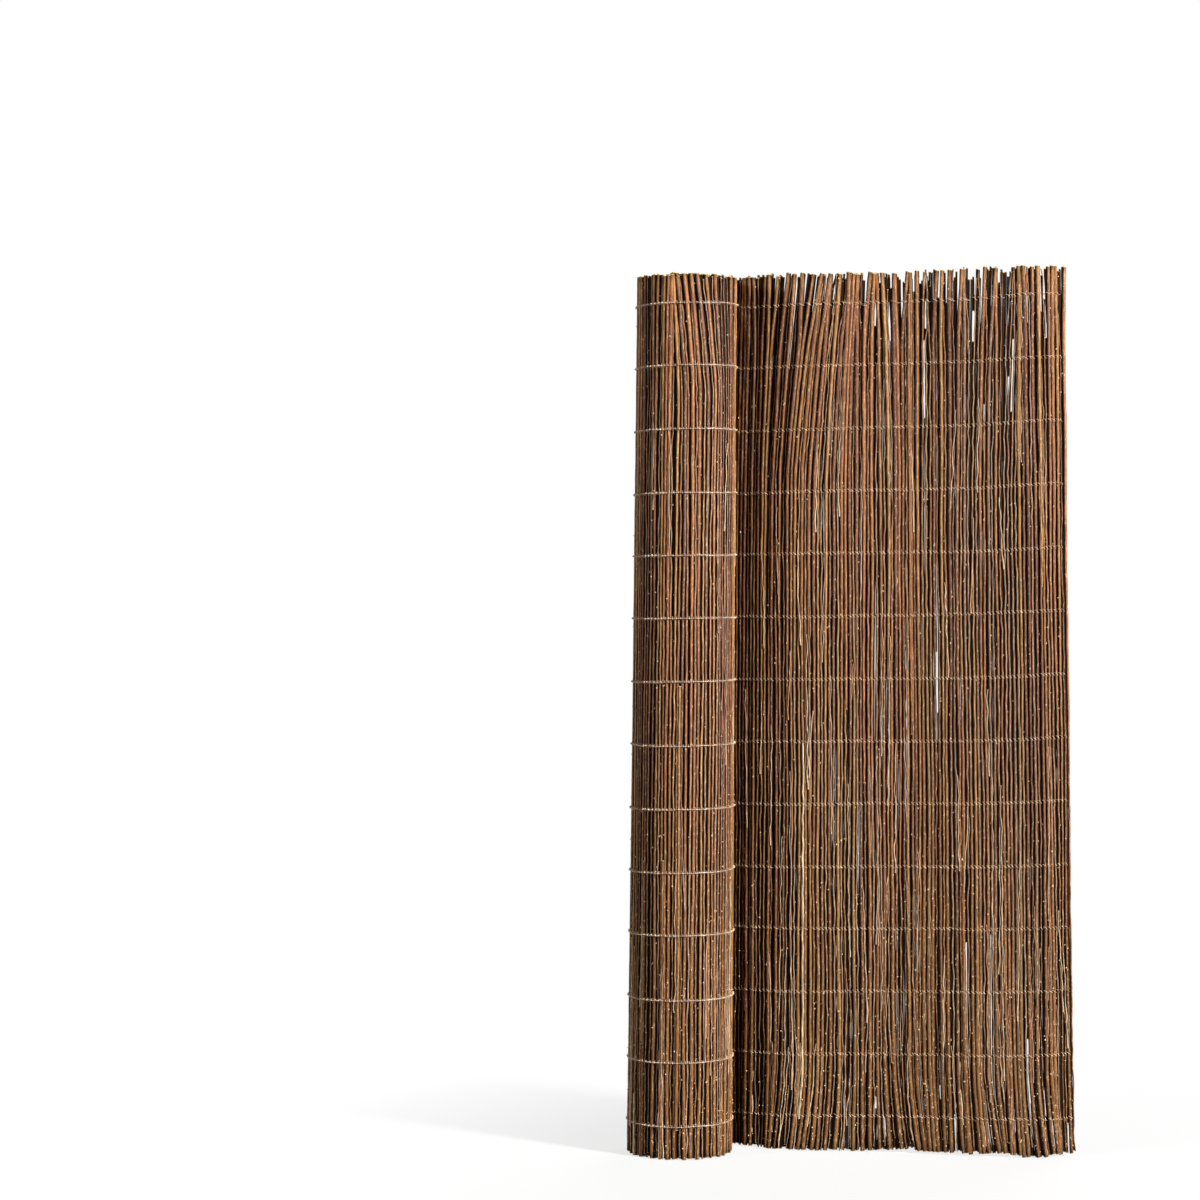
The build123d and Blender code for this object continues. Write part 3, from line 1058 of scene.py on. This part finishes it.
@dataclass(frozen=True)
class BarkFinish:
    """Unpeeled willow, dried: satin bark, streaked along the rod, with pale specks.

    Each rod has its own tone, from golden ochre over red-brown to grey, and the foot of the
    mat is more golden than its top. The very top carries a golden band that is partly a painted
    highlight, and painted shade darkens the grooves between rods and the rods that stand in shadow.
    """

    name: str = "dried_willow_bark"
    tones: tuple[tuple[float, str], ...] = (
        (0.00, "E1A361"), (0.12, "D69960"), (0.24, "B67E51"), (0.36, "D28E5C"), (0.50, "B87A56"),
        (0.62, "946048"), (0.74, "BC9174"), (0.86, "D2895C"), (0.92, "D48653"), (1.00, "D4A872"),
    )
    foot_tint: str = "C1833B"
    # The golden tint of the top is partly a painted highlight, where the upper ends catch the light.
    top_highlight_tint: str = "F1AC64"
    dark: str = "301C15"
    # Near-black colour of the painted shade in the grooves and on shaded rods.
    deep: str = "1A100A"
    pale: str = "F7D7A5"
    silver: str = "CEA88C"
    peeled: str = "F7DEB6"
    cut: str = "F7D89F"
    # How much of a coat shows at its strongest.
    foot_gold: float = 0.66
    foot_dusk: float = 0.38
    top_gold: float = 0.65
    streaking: float = 0.74
    speckling: float = 0.7
    # Strength of the painted shade in the grooves between rods.
    groove: float = 0.96
    cut_rim: float = 0.8
    # Up to which share of the mat's height the two coats of the foot reach, and where the top's starts.
    gold_reach: float = 0.45
    dusk_reach: float = 0.65
    top_from: float = 0.96
    # Grain of the patterns, across and along the rod in millimetres.
    drift_grain: tuple[float, float] = (9, 90)
    flake_grain: tuple[float, float] = (2.5, 16)
    streak_grain: tuple[float, float] = (1.2, 34)
    speck_grain: tuple[float, float] = (2.2, 7)
    tone_drift: float = 0.30
    streak_depth: float = 0.4 * MM
    roughness: float = 0.45
    gloss: float = 0.18

    def make(self, mat_height: float) -> bpy.types.Material:
        """Build the material.

        Args:
            mat_height: Height of the mat, for the golden foot.

        Returns:
            The material.
        """
        material, shader, place = start_finish(self.name)
        tree = material.node_tree

        def carried(name: str) -> bpy.types.NodeSocket:
            """Read a value that the rod carries."""
            return out(add(tree, "ShaderNodeAttribute", attribute_name=name), "Fac")

        def noise(grain: tuple[float, float], detail: float) -> bpy.types.NodeSocket:
            """Noise stretched along the rods."""
            across, along = (1 / (size * MM) for size in grain)
            scale = (across, across, along)
            mapped = out(add(tree, "ShaderNodeMapping", {"Vector": place, "Scale": scale}))
            links = {"Vector": mapped, "Scale": 1.0, "Detail": detail, "Roughness": 0.6}
            return out(add(tree, "ShaderNodeTexNoise", links))

        def ramp_to(value: Operand, low: float, high: float, start: float, end: float
                    ) -> bpy.types.NodeSocket:
            """Map a value from one range to another, held at both ends."""
            return out(add(tree, "ShaderNodeMapRange", {0: value, 1: low, 2: high, 3: start, 4: end}))

        drift = maths(tree, "SUBTRACT", noise(self.drift_grain, 2), 0.5)
        drift = maths(tree, "MULTIPLY_ADD", drift, self.tone_drift, carried("tone"))
        height = out(add(tree, "ShaderNodeSeparateXYZ", {0: place}), "Z")
        left_bark = ramp_to(noise(self.flake_grain, 2), 0.40, 0.48, 0.3, 1.0)
        streaks = noise(self.streak_grain, 3)
        specks = noise(self.speck_grain, 2)
        # Painted shade: near black in the grooves between rods and on rods that carry shade.
        groove = maths(tree, "MAXIMUM", ramp_to(carried("groove"), 0.05, 0.48, 0.0, self.groove),
                       carried("shade"))
        pale_end = maths(tree, "MULTIPLY", ramp_to(carried("ends"), 2.0 * MM, 0.3 * MM, 0.0, self.cut_rim),
                         ramp_to(height, mat_height * 0.1, mat_height * 0.4, 0.4, 1.0))
        colour = colour_ramp(tree, drift, self.tones)
        # Coat upon coat, each over the ones before it.
        for share, code in (
                (ramp_to(height, mat_height * self.gold_reach, 0.0, 0.0, self.foot_gold), self.foot_tint),
                # Golden top band, partly a painted highlight.
                (ramp_to(height, mat_height * self.top_from, mat_height, 0.0, self.top_gold), self.top_highlight_tint),
                (ramp_to(height, 0.0, mat_height * self.dusk_reach, self.foot_dusk, 0.0), self.dark),
                (carried("pale_tip"), self.silver),
                (maths(tree, "MULTIPLY", carried("peel"), left_bark), self.peeled),
                (ramp_to(streaks, 0.36, 0.62, self.streaking, 0.0), self.dark),
                (ramp_to(specks, 0.58, 0.70, 0.0, self.speckling), self.pale),
                # Painted shade of the grooves and of the shaded rods.
                (groove, self.deep),
                (pale_end, self.cut)):
            links = {0: share, 6: colour, 7: linear(code)}
            colour = add(tree, "ShaderNodeMix", links, data_type="RGBA").outputs[2]
        tree.links.new(colour, shader.inputs["Base Color"])
        relief = {"Height": streaks, "Strength": 0.5, "Distance": self.streak_depth}
        bump = add(tree, "ShaderNodeBump", relief)
        tree.links.new(out(bump), shader.inputs["Normal"])
        tree.links.new(ramp_to(groove, 0.0, 0.8, self.roughness, 1.0), shader.inputs["Roughness"])
        shader.inputs["Specular IOR Level"].default_value = self.gloss
        return material


@dataclass(frozen=True)
class CutWoodFinish:
    """Sawn willow: pale bare wood with a fine mottled grain, on the cut ends and the buds."""

    name: str = "cut_willow_wood"
    colour: str = "F7E4BC"
    shade: str = "DDAE75"
    grain: float = 2.381 * MM
    roughness: float = 0.75

    def make(self) -> bpy.types.Material:
        """Build and return the material."""
        material, shader, place = start_finish(self.name)
        tree = material.node_tree
        links = {"Vector": place, "Scale": 1 / self.grain, "Detail": 3.0}
        grain = out(add(tree, "ShaderNodeTexNoise", links))
        colour = colour_ramp(tree, grain, ((0.0, self.shade), (1.0, self.colour)))
        tree.links.new(colour, shader.inputs["Base Color"])
        shader.inputs["Roughness"].default_value = self.roughness
        return material


@dataclass(frozen=True)
class WireFinish:
    """Drawn galvanised wire, dulled outdoors: a soft metal with a warm, patchy zinc skin."""

    name: str
    colour: str
    dull: str
    patch: float = 11.11 * MM
    metallic: float = 0.35
    roughness: float = 0.38

    def make(self) -> bpy.types.Material:
        """Build and return the material."""
        material, shader, place = start_finish(self.name)
        tree = material.node_tree
        links = {"Vector": place, "Scale": 1 / self.patch, "Detail": 2.0}
        patches = out(add(tree, "ShaderNodeTexNoise", links))
        colour = colour_ramp(tree, patches, ((0.35, self.dull), (0.62, self.colour)))
        tree.links.new(colour, shader.inputs["Base Color"])
        shader.inputs["Metallic"].default_value = self.metallic
        shader.inputs["Roughness"].default_value = self.roughness
        return material


@dataclass
class WireRow:
    """One row's two wires: a straight runner and the lashing that ties every rod to it."""

    row: int
    height: float
    runner_radius: float = 0.65 * MM
    # The lashing wire of the solids is 1 mm thick. It is drawn coarser, as its bright loops show.
    stitch_radius: float = 0.58 * MM
    seat: float = 4.5 * MM
    slant: float = 5.6 * MM
    # The rows rise towards the free end, from this share of the free length on.
    end_rise: float = 10 * MM
    rise_from: float = 0.72
    slack: float = 0.25 * MM
    most_slack: float = 1.6 * MM
    # Where a loop's points stand round a rod, in degrees.
    roll_loop: tuple[int, ...] = (-70, 0, 70)
    free_loop: tuple[int, ...] = (-82, -48, -16, 16, 48, 82)
    hidden_depth: float = 1.5 * MM
    tail_length: float = 22 * MM
    tail_turns: float = 3.5

    def path(self, name: str, stretches: list[np.ndarray]) -> bpy.types.Object:
        """Make chains of edges through points.

        Args:
            name: The object's name.
            stretches: Each chain's rows of x, y and z.

        Returns:
            The object.
        """
        points, edges = [], []
        for stretch in stretches:
            first = len(points)
            points += stretch.tolist()
            edges += [(first + i, first + i + 1) for i in range(len(stretch) - 1)]
        mesh = bpy.data.meshes.new(name)
        mesh.from_pydata(points, edges, [])
        return link(name, mesh)

    def draw(self, name: str, stretches: list[np.ndarray], radius: float, sides: int,
             wire: bpy.types.Material) -> bpy.types.Object:
        """Draw wire along chains of points.

        Args:
            name: The piece's name.
            stretches: Each chain's rows of x, y and z.
            radius: The wire's radius.
            sides: Facets round it.
            wire: Its material.

        Returns:
            The piece.
        """
        tree = GeometryTree(name, {"Radius": radius, "Sides": sides, "Wire": wire})
        get = tree.get
        tree.finish(tree.skin(get("Geometry"), get("Radius"), get("Sides")), get("Wire"))
        return tree.apply(self.path(name + "_path", stretches), name)

    def build(self, plan: MatPlan, centres: np.ndarray, radii: np.ndarray, alongs: np.ndarray,
              runner_wire: bpy.types.Material, stitch_wire: bpy.types.Material
              ) -> tuple[bpy.types.Object, bpy.types.Object]:
        """Draw the runner over the crests and lash it to each rod.

        Args:
            plan: The mat's plan.
            centres: The rods' x and y at this height, in order along the mat.
            radii: Their radii there.
            alongs: Their places along the mat.
            runner_wire: Material of the runner.
            stitch_wire: Material of the lashing.

        Returns:
            The runner and the lashing.
        """
        chance = np.random.default_rng(100 + self.row)
        headings = np.array([plan.centre(along)[2] for along in alongs])
        across = np.stack([np.cos(headings), np.sin(headings)], axis=1)
        outward = np.stack([-np.sin(headings), np.cos(headings)], axis=1)
        scale = 1 - plan.top_narrowing * self.height / plan.height
        seat = self.seat * scale + self.runner_radius
        line = np.array([plan.centre(along)[:2] for along in alongs])
        line = plan.narrow(np.column_stack([line, np.full(len(line), self.height)]))[:, :2]
        gaps = (line[1:] + line[:-1]) / 2
        slack = np.cumsum(chance.normal(0, self.slack, len(line)))
        slack -= np.linspace(slack[0], slack[-1], len(slack))
        level = self.height + plan.row_climb * (line[:, 0] - plan.origin[0])
        level = level + np.clip(slack, -self.most_slack, self.most_slack)
        share = np.clip((alongs - plan.roll_length) / plan.free_length, 0, 1)
        lifted = np.clip((share - self.rise_from) / (1 - self.rise_from), 0, 1)
        level = level + self.end_rise * self.height / plan.height * lifted

        runner = np.column_stack([line + outward * seat, level])
        tail = self.tail(runner[-1], across[-1], outward[-1])
        loops = []
        for index in range(1, len(line) - 1):
            on_roll = alongs[index] < plan.roll_length
            reach = radii[index] + self.stitch_radius
            fall = self.slant * chance.uniform(0.75, 1.2)
            for turn in np.radians(self.roll_loop if on_roll else self.free_loop):
                spot = centres[index] + across[index] * math.sin(turn) * reach
                spot = spot - outward[index] * math.cos(turn) * reach
                loops.append((*spot, level[index] - fall / 2 * math.sin(turn)))
            gap = gaps[index] + (centres[index] - line[index] + centres[index + 1] - line[index + 1]) / 2
            over = seat + self.runner_radius + self.stitch_radius * 0.9
            # Between two rods the wire goes out to the runner, over it and back in.
            for depth, drop, shift in ((self.hidden_depth, -0.45, 0.0), (over, -0.1, 0.5),
                                       (over, 0.12, 0.9), (self.hidden_depth, 0.5, 0.4)):
                spot = gap + outward[index] * depth + across[index] * shift * MM
                loops.append((*spot, level[index] + drop * fall))
        name = f"{self.row:02d}"
        return (self.draw("runner_" + name, [runner, tail], self.runner_radius, 6, runner_wire),
                self.draw("stitches_" + name, [np.array(loops)], self.stitch_radius, 5, stitch_wire))

    def tail(self, end: np.ndarray, across: np.ndarray, outward: np.ndarray) -> np.ndarray:
        """Twist the wire's end back round itself.

        Args:
            end: Where the runner ends.
            across: Direction along the mat there.
            outward: Direction out of the mat there.

        Returns:
            Rows of x, y and z of the twist.
        """
        steps = np.linspace(0, 1, 26)
        angle = steps * 2 * math.pi * self.tail_turns
        reach = self.runner_radius + self.stitch_radius
        flat = end[:2] - np.outer(steps * self.tail_length, across) + np.outer(reach * np.cos(angle), outward)
        return np.column_stack([flat, end[2] + reach * np.sin(angle)])


@dataclass
class Buds:
    """Buds and stubs of cut side shoots, strewn over the rods' bark."""

    name: str
    density: float = 680.0
    # How many times more grow at the very foot, and up to which share of the height it shows.
    low_gain: float = 2.4
    low_share: float = 0.4
    bare_ends: float = 12 * MM
    size: float = 1.9 * MM
    seed: int = 1

    def build(self, host: bpy.types.Object, height: float, skin: bpy.types.Material) -> bpy.types.Object:
        """Strew the buds.

        Args:
            host: The rods that they grow on.
            height: Height of the mat; more buds grow near its foot.
            skin: Their material.

        Returns:
            The piece.
        """
        tree = GeometryTree(self.name, {
            "Density": self.density, "Low Gain": self.low_gain, "Low Share": self.low_share,
            "Bare Ends": self.bare_ends, "Size": self.size, "Seed": self.seed, "Mat Height": height,
            "Bud": skin,
        })
        get, m = tree.get, tree.maths
        up = tree.height()
        foot = m("SUBTRACT", 1.0, m("DIVIDE", up, m("MULTIPLY", get("Mat Height"), get("Low Share"))))
        more = m("MULTIPLY_ADD", m("MAXIMUM", foot, 0.0), get("Low Gain"), 1.0)
        margin = m("MINIMUM", up, m("SUBTRACT", get("Mat Height"), up))
        density = m("MULTIPLY", get("Density"), more)
        density = m("MULTIPLY", density, m("GREATER_THAN", margin, get("Bare Ends")))
        strewn = tree.node("GeometryNodeDistributePointsOnFaces",
                           {"Mesh": get("Geometry"), "Density": density, "Seed": get("Seed")})
        cone = tree.add("GeometryNodeMeshCone", {"Vertices": 5, "Radius Top": 0.45, "Radius Bottom": 1.0,
                                                 "Depth": 1.0})
        links = {"Points": out(strewn, "Points"), "Instance": cone, "Rotation": out(strewn, "Rotation")}
        grown = tree.add("GeometryNodeInstanceOnPoints", links)
        size = m("MULTIPLY", get("Size"), tree.chance(0.35, 1.0, tree.add("GeometryNodeInputIndex"), 2))
        grown = tree.add("GeometryNodeScaleInstances", {"Instances": grown, "Scale": size})
        tree.finish(grown, get("Bud"))
        return tree.apply(link(self.name + "_host", host.data.copy()), self.name)


@dataclass
class Screen:
    """The whole screen: rods in the roll and the free length, and its wire rows."""

    plan: MatPlan
    rows: int = 14
    roll_twigs: int = 60
    free_twigs: int = 90
    # The part of the roll's outer turn, in turns, whose rods can be seen.
    seen_turn: float = 0.95
    roll_top_zone: float = 260 * MM
    thin_kink: float = 0.2 * MM
    thin_tip_kink: float = 0.3 * MM

    def __post_init__(self) -> None:
        """Make the finishes."""
        self.bark = BarkFinish().make(self.plan.height)
        self.wood = CutWoodFinish().make()
        self.runner_wire = WireFinish("galvanised_wire_weathered", "F7E8DC", "B39F8C").make()
        self.stitch_wire = WireFinish("galvanised_wire_tarnished", "F7DCBB", "CC9F78").make()

    def groups(self) -> tuple[RodGroup, ...]:
        """Plant the rods and return their groups."""
        plan, planting = self.plan, Planting(self.plan)
        leave, end = plan.roll_length, plan.length
        outer = leave - 2 * math.pi * plan.roll_radius * self.seen_turn
        roll = planting.main(outer, leave, Face.OUTER)
        free = planting.main(leave, end, Face.INNER)
        backs = [leave - item.place for item in planting.roll_odd]
        shares = [leave + item.place * plan.free_length for item in planting.free_odd]
        roll_odd = planting.place_odd(roll, backs, planting.roll_odd, Face.OUTER)
        free_odd = planting.place_odd(free, shares, planting.free_odd, Face.INNER)
        on_roll = {"top_zone": self.roll_top_zone}
        thin = {"sides": 5, "segments": 36, "kink": self.thin_kink, "tip_kink": self.thin_tip_kink}
        twig = {"sides": 5, "segments": 34}
        return (
            RodGroup("roll_core_rods", planting.main(0.0, outer, Face.OUTER), 6, 14, seed=3),
            RodGroup("roll_rods", roll, **on_roll, seed=4),
            RodGroup("free_rods", free, seed=5),
            RodGroup("roll_fillers", planting.fillers(roll, Face.OUTER), **thin, **on_roll, seed=6),
            RodGroup("free_fillers", planting.fillers(free, Face.INNER, planting.zones), **thin, seed=7),
            RodGroup("roll_odd_rods", roll_odd, **on_roll, seed=10),
            RodGroup("free_odd_rods", free_odd, seed=12),
            RodGroup("roll_twigs", planting.twigs(outer, leave, Face.OUTER, self.roll_twigs), **twig,
                     **on_roll, seed=8),
            RodGroup("free_twigs", planting.twigs(leave + 60 * MM, end, Face.INNER, self.free_twigs),
                     **twig, seed=9),
        )

    def wires(self, bound: list[tuple[RodGroup, bpy.types.Object]]) -> list[bpy.types.Object]:
        """Bind rods with the rows of wire.

        Args:
            bound: The groups of rods that are bound, in order along the mat, and their pieces.

        Returns:
            The wires.
        """
        made = []
        plan = self.plan
        alongs = np.array([rod.along for group, _ in bound for rod in group.rods])
        for row in range(1, self.rows + 1):
            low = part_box(f"runner_wire_{row:02d}")[0]
            height = low[2] - plan.row_climb * (low[0] - plan.origin[0]) + WireRow.runner_radius
            rings = [group.rings(piece, height) for group, piece in bound]
            centres, radii = (np.concatenate(parts) for parts in zip(*rings))
            pair = WireRow(row, height).build(plan, centres, radii, alongs, self.runner_wire,
                                              self.stitch_wire)
            for wire, node in zip(pair, ("runner", "stitch")):
                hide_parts(f"{node}_wire_{row:02d}")
                made.append(wire)
        return made

    def build(self) -> list[bpy.types.Object]:
        """Build every piece and body, and return them."""
        groups = {group.name: group for group in self.groups()}
        pieces = {name: group.build(self.plan, self.bark, self.wood) for name, group in groups.items()}
        bearers = ("roll", "free")
        buds = [Buds(side + "_buds", seed=index).build(pieces[side + "_rods"], self.plan.height, self.wood)
                for index, side in enumerate(bearers)]
        made = list(pieces.values()) + buds
        for piece in made:
            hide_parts("willow_mat")
        made += self.wires([(groups[side + "_rods"], pieces[side + "_rods"]) for side in bearers])
        for piece in made:
            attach(piece, "root")
        return made


@dataclass(frozen=True)
class Lamp:
    """A soft sun: its strength, and in degrees how wide it looks, how far right and how high it is."""

    name: str
    strength: float
    softness: float
    right: float
    height: float

    def hang(self) -> None:
        """Add the lamp to the scene."""
        data = bpy.data.lights.new(self.name, "SUN")
        data.energy, data.angle = self.strength, math.radians(self.softness)
        lamp = link(self.name, data)
        lamp.rotation_euler = (math.radians(90 - self.height), 0.0, math.radians(self.right))


@dataclass
class Studio:
    """Pale floor, soft light and the camera of the photograph, whose rows are pixels from its top."""

    horizon_row: float = 575.0
    frame_px: float = 1200.0
    focal_px: float = 2943.0
    sensor_mm: float = 36.0
    eye_height: float = 1.173
    distance: float = 6.0
    eye_left: float = 0.165
    lamps: tuple[Lamp, ...] = (
        Lamp("key", 6.6, 7.0, 52.0, 24.0),
        Lamp("rim", 1.35, 14.0, -62.0, 14.0),
        Lamp("back", 0.9, 35.0, 155.0, 42.0),
    )
    fill_strength: float = 0.018
    floor_reach: float = 30.0
    # Between these distances from the screen the floor fades to the white of the backdrop.
    fade: tuple[float, float] = (0.5, 1.2)
    floor_colour: str = "F0EFEE"
    floor_bounce: str = "707070"
    near_fade: float = 0.75
    backdrop: str = "FFFFFF"

    def camera(self, plan: MatPlan) -> None:
        """Place the camera as the photograph's.

        Args:
            plan: The mat's plan, whose roll the distance is measured from.
        """
        data = bpy.data.cameras.new("camera")
        data.sensor_width = self.sensor_mm
        data.lens = self.sensor_mm * self.focal_px / self.frame_px
        data.shift_y = (self.horizon_row - self.frame_px / 2) / self.frame_px
        eye = link("camera", data)
        eye.location = (plan.origin[0] - self.eye_left, plan.origin[1] - self.distance, self.eye_height)
        eye.rotation_euler = (math.pi / 2, 0.0, 0.0)
        bpy.context.scene.camera = eye

    def floor(self) -> None:
        """Lay a pale floor. The camera sees it fade to the white of the backdrop further off."""
        mesh = bpy.data.meshes.new("floor")
        corners = [(x * self.floor_reach, y * self.floor_reach, 0.0)
                   for x, y in ((-1, -1), (1, -1), (1, 1), (-1, 1))]
        mesh.from_pydata(corners, [], [(0, 1, 2, 3)])
        link("floor", mesh)
        paint, shader, place = start_finish("white_painted_floor")
        mesh.materials.append(paint)
        tree = paint.node_tree
        shader.inputs["Roughness"].default_value = 0.9
        away = out(add(tree, "ShaderNodeVectorMath", {0: place}, operation="LENGTH"), "Value")
        near, distant = self.fade
        links = {0: away, 1: near, 2: distant, 3: self.near_fade, 4: 1.0}
        far = out(add(tree, "ShaderNodeMapRange", links))
        seen = add(tree, "ShaderNodeLightPath").outputs["Is Camera Ray"]
        links = {0: seen, 6: linear(self.floor_bounce), 7: linear(self.floor_colour)}
        colour = add(tree, "ShaderNodeMix", links, data_type="RGBA").outputs[2]
        tree.links.new(colour, shader.inputs["Base Color"])
        white = add(tree, "ShaderNodeEmission", {"Color": linear(self.backdrop), "Strength": 1.0})
        links = {0: maths(tree, "MULTIPLY", far, seen), 1: out(shader), 2: out(white)}
        mixed = add(tree, "ShaderNodeMixShader", links)
        tree.links.new(out(mixed), tree.nodes["Material Output"].inputs["Surface"])

    def world(self) -> None:
        """Fill with soft white light; the camera sees the white backdrop."""
        world = bpy.data.worlds.new("studio")
        bpy.context.scene.world = world
        world.use_nodes = True
        tree = world.node_tree
        tree.nodes.clear()
        seen = add(tree, "ShaderNodeLightPath").outputs["Is Camera Ray"]
        fill = add(tree, "ShaderNodeBackground", {"Color": (1, 1, 1, 1), "Strength": self.fill_strength})
        white = add(tree, "ShaderNodeBackground", {"Color": linear(self.backdrop), "Strength": 1.0})
        both = add(tree, "ShaderNodeMixShader", {0: seen, 1: out(fill), 2: out(white)})
        add(tree, "ShaderNodeOutputWorld", {"Surface": out(both)})

    def build(self, plan: MatPlan) -> None:
        """Set floor, world, lamps and camera.

        Args:
            plan: The mat's plan.
        """
        bpy.context.scene.view_settings.view_transform = "Standard"
        self.floor()
        self.world()
        for lamp in self.lamps:
            lamp.hang()
        self.camera(plan)


def main() -> None:
    """Build the screen and the studio, and note the sizes."""
    logging.basicConfig(level=logging.INFO, format="%(name)s: %(message)s")
    plan = MatPlan()
    total = 0
    for piece in Screen(plan).build():
        count = sum(len(face.vertices) - 2 for face in piece.data.polygons)
        total += count
        log.info("%s: %d triangles", piece.name, count)
    log.info("all pieces: %d triangles", total)
    Studio().build(plan)


if __name__ == "__main__":
    main()
